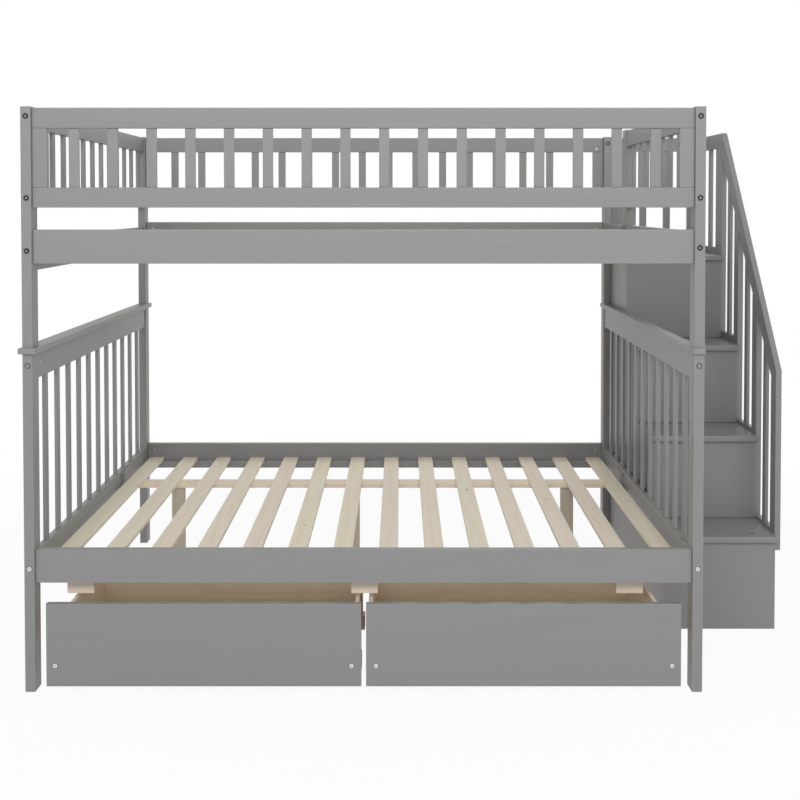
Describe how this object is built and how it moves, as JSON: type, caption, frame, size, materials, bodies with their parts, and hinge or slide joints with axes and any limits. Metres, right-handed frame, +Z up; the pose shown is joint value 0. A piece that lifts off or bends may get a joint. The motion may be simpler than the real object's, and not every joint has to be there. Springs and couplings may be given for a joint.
{
  "type": "bunk bed with storage stairs",
  "caption": "Full-size bunk bed in gray painted wood with slatted guards, a storage stair across its right end, a sloped handrail and rolling drawers under the lower bed.",
  "frame": {"origin": "on the floor, at the middle of the whole footprint of bed and stair", "axes": "+X along the bed towards the stair, +Y from the front of the bed to the wall, +Z up"},
  "size_m": [2.408, 1.468, 1.725],
  "materials": {
    "gray_paint": "satin gray paint on wood",
    "pine": "bare planed pine",
    "plywood": "bare thin plywood",
    "bolt_steel": "zinc-plated",
    "caster_steel": "zinc-plated sheet",
    "wheel_plastic": "matt moulded nylon"
  },
  "bodies": {
    "frame": {"back_guard_rails": "gray_paint", "back_guard_slats": "gray_paint", "back_left_lower_post": "gray_paint", "back_right_lower_post": "gray_paint", "beam_brackets": "gray_paint", "beam_legs": "pine", "end_caps": "gray_paint", "entry_post": "gray_paint", "frame_bolts": "bolt_steel", "front_guard_rails": "gray_paint", "front_guard_slats": "gray_paint", "front_left_lower_post": "gray_paint", "front_right_lower_post": "gray_paint", "landing_guard": "gray_paint", "left_guard_rails": "gray_paint", "left_guard_slats": "gray_paint", "left_lower_end_rails": "gray_paint", "left_lower_end_slats": "gray_paint", "lower_back_rail": "gray_paint", "lower_bed_slats": "pine", "lower_front_rail": "gray_paint", "rail_blocks": "pine", "right_guard_rails": "gray_paint", "right_guard_slats": "gray_paint", "right_lower_end_rails": "gray_paint", "right_lower_end_slats": "gray_paint", "slat_cleats": "gray_paint", "stair_back_panel": "gray_paint", "stair_face_frame": "gray_paint", "stair_handrail": "gray_paint", "stair_inner_side": "gray_paint", "stair_rail_posts": "gray_paint", "stair_rail_slats": "gray_paint", "stair_risers": "gray_paint", "stair_shelves": "gray_paint", "stair_treads": "gray_paint", "support_beams": "pine", "upper_back_rail": "gray_paint", "upper_bed_slats": "pine", "upper_end_rails": "gray_paint", "upper_front_rail": "gray_paint", "upper_posts": "gray_paint"},
    "left_drawer": {"left_drawer_front": "gray_paint", "left_drawer_box": "pine", "left_drawer_floor": "plywood", "left_drawer_casters": "caster_steel", "left_drawer_bolts": "bolt_steel"},
    "right_drawer": {"right_drawer_front": "gray_paint", "right_drawer_box": "pine", "right_drawer_floor": "plywood", "right_drawer_casters": "caster_steel", "right_drawer_bolts": "bolt_steel"},
    "left_front_inner_wheel": {"left_front_inner_wheel": "wheel_plastic"},
    "left_front_outer_wheel": {"left_front_outer_wheel": "wheel_plastic"},
    "left_rear_inner_wheel": {"left_rear_inner_wheel": "wheel_plastic"},
    "left_rear_outer_wheel": {"left_rear_outer_wheel": "wheel_plastic"},
    "right_front_inner_wheel": {"right_front_inner_wheel": "wheel_plastic"},
    "right_front_outer_wheel": {"right_front_outer_wheel": "wheel_plastic"},
    "right_rear_inner_wheel": {"right_rear_inner_wheel": "wheel_plastic"},
    "right_rear_outer_wheel": {"right_rear_outer_wheel": "wheel_plastic"}
  },
  "joints": [
    {"name": "left_drawer_slide", "type": "slide", "parent": "frame", "child": "left_drawer", "axis": [0, -1, 0], "range_m": [0, 0.36]},
    {"name": "right_drawer_slide", "type": "slide", "parent": "frame", "child": "right_drawer", "axis": [0, -1, 0], "range_m": [0, 0.36]},
    {"name": "left_front_inner_wheel_turn", "type": "hinge", "parent": "left_drawer", "child": "left_front_inner_wheel", "pos_m": [-0.284, -0.6835, 0.0205], "axis": [1, 0, 0], "range_deg": [0, 1040]},
    {"name": "left_front_outer_wheel_turn", "type": "hinge", "parent": "left_drawer", "child": "left_front_outer_wheel", "pos_m": [-1.048, -0.6835, 0.0205], "axis": [1, 0, 0], "range_deg": [0, 1040]},
    {"name": "left_rear_inner_wheel_turn", "type": "hinge", "parent": "left_drawer", "child": "left_rear_inner_wheel", "pos_m": [-0.284, -0.3795, 0.0205], "axis": [1, 0, 0], "range_deg": [0, 1040]},
    {"name": "left_rear_outer_wheel_turn", "type": "hinge", "parent": "left_drawer", "child": "left_rear_outer_wheel", "pos_m": [-1.048, -0.3795, 0.0205], "axis": [1, 0, 0], "range_deg": [0, 1040]},
    {"name": "right_front_inner_wheel_turn", "type": "hinge", "parent": "right_drawer", "child": "right_front_inner_wheel", "pos_m": [-0.104, -0.6835, 0.0205], "axis": [1, 0, 0], "range_deg": [0, 1040]},
    {"name": "right_front_outer_wheel_turn", "type": "hinge", "parent": "right_drawer", "child": "right_front_outer_wheel", "pos_m": [0.66, -0.6835, 0.0205], "axis": [1, 0, 0], "range_deg": [0, 1040]},
    {"name": "right_rear_inner_wheel_turn", "type": "hinge", "parent": "right_drawer", "child": "right_rear_inner_wheel", "pos_m": [-0.104, -0.3795, 0.0205], "axis": [1, 0, 0], "range_deg": [0, 1040]},
    {"name": "right_rear_outer_wheel_turn", "type": "hinge", "parent": "right_drawer", "child": "right_rear_outer_wheel", "pos_m": [0.66, -0.3795, 0.0205], "axis": [1, 0, 0], "range_deg": [0, 1040]}
  ],
  "couplings": [
    {"joint": "left_front_inner_wheel_turn", "follows": "left_drawer_slide", "rad_per_m": 50},
    {"joint": "left_front_outer_wheel_turn", "follows": "left_drawer_slide", "rad_per_m": 50},
    {"joint": "left_rear_inner_wheel_turn", "follows": "left_drawer_slide", "rad_per_m": 50},
    {"joint": "left_rear_outer_wheel_turn", "follows": "left_drawer_slide", "rad_per_m": 50},
    {"joint": "right_front_inner_wheel_turn", "follows": "right_drawer_slide", "rad_per_m": 50},
    {"joint": "right_front_outer_wheel_turn", "follows": "right_drawer_slide", "rad_per_m": 50},
    {"joint": "right_rear_inner_wheel_turn", "follows": "right_drawer_slide", "rad_per_m": 50},
    {"joint": "right_rear_outer_wheel_turn", "follows": "right_drawer_slide", "rad_per_m": 50}
  ]
}
